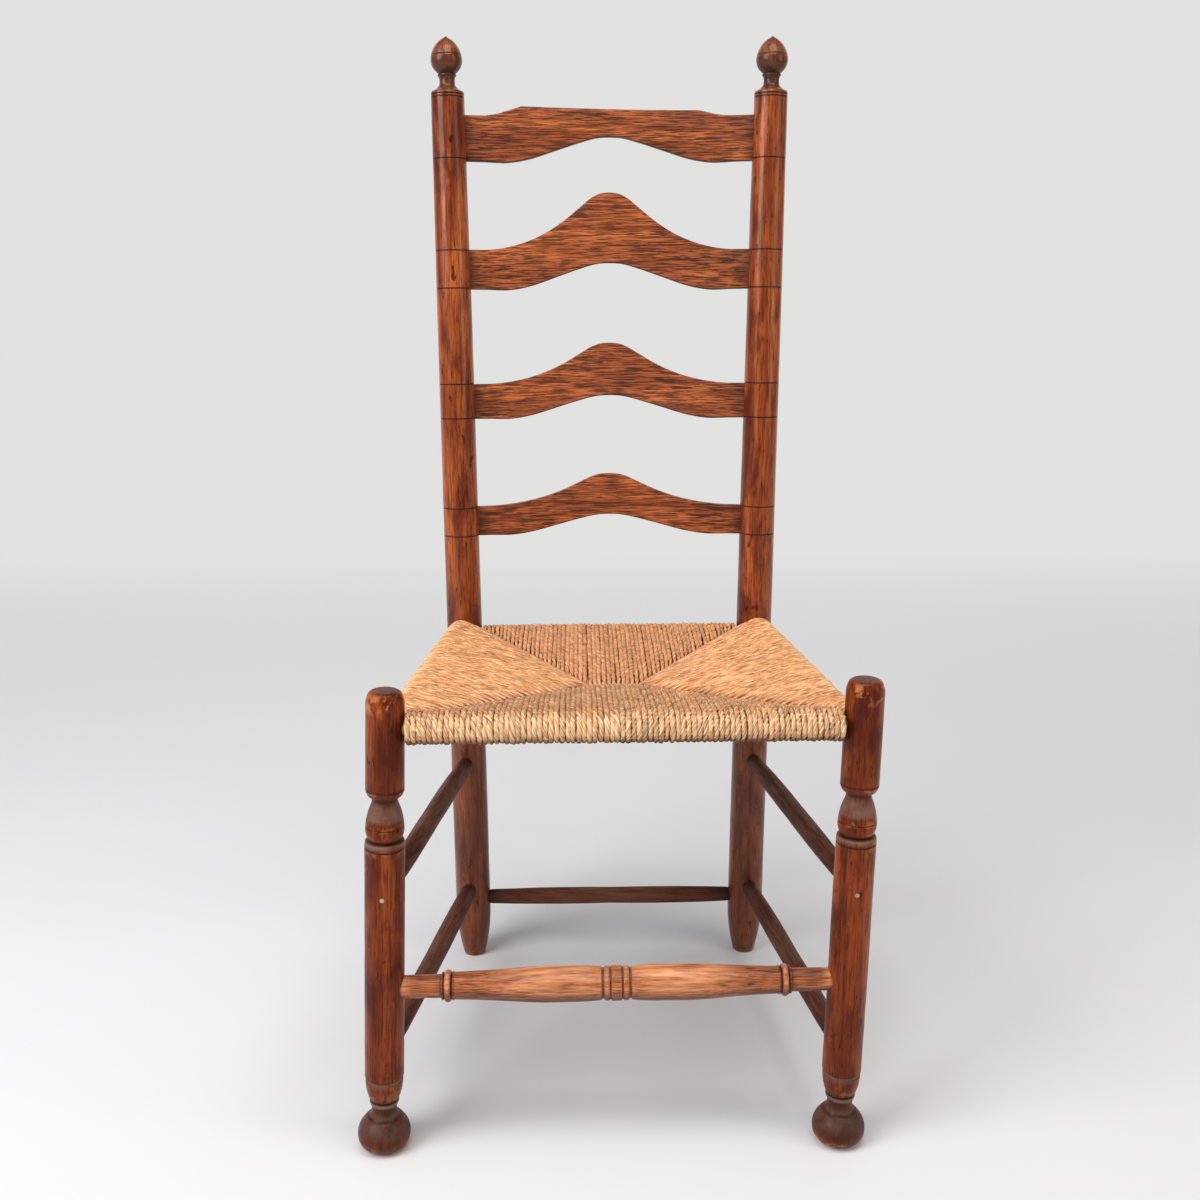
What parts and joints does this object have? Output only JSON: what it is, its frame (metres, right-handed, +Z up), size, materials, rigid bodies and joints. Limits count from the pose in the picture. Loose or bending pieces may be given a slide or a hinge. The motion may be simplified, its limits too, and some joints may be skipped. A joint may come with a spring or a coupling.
{
  "type": "ladderback side chair",
  "caption": "Ladderback side chair: turned posts with acorn finials, arched bowed slats, ball-footed front legs, round stretchers and a woven rush seat.",
  "frame": {"origin": "on the floor, under the middle of the chair's bounding box", "axes": "+Z up through the rear posts, +X to the right of a viewer who faces the chair's front, +Y from the front legs to the back"},
  "size_m": [0.504, 0.4678, 1.0974],
  "materials": {
    "turned_maple": "old glossy red-brown varnish, worn at the edges",
    "slat_oak": "open-grained, dark filled pores, satin varnish",
    "stretcher_wood": "worn varnish, matte",
    "hidden_wood": "bare shaved wood",
    "rush": "twisted natural rush, straw to tan",
    "stuffing": "chopped dry rush",
    "nail_steel": "dulled nail heads"
  },
  "bodies": {
    "root": {"front_leg_left": "turned_maple", "front_leg_right": "turned_maple", "rear_post_left": "turned_maple", "rear_post_right": "turned_maple", "slat_1": "slat_oak", "slat_2": "slat_oak", "slat_3": "slat_oak", "slat_4": "slat_oak", "front_stretcher": "stretcher_wood", "rear_stretcher": "stretcher_wood", "side_stretcher_upper_left": "stretcher_wood", "side_stretcher_upper_right": "stretcher_wood", "side_stretcher_lower_left": "stretcher_wood", "side_stretcher_lower_right": "stretcher_wood", "seat_rail_front": "hidden_wood", "seat_rail_back": "hidden_wood", "seat_rail_left": "hidden_wood", "seat_rail_right": "hidden_wood", "rush_seat": "rush", "seat_stuffing_front": "stuffing", "seat_stuffing_back": "stuffing", "seat_stuffing_left": "stuffing", "seat_stuffing_right": "stuffing", "tenon_nails": "nail_steel"}
  },
  "joints": []
}
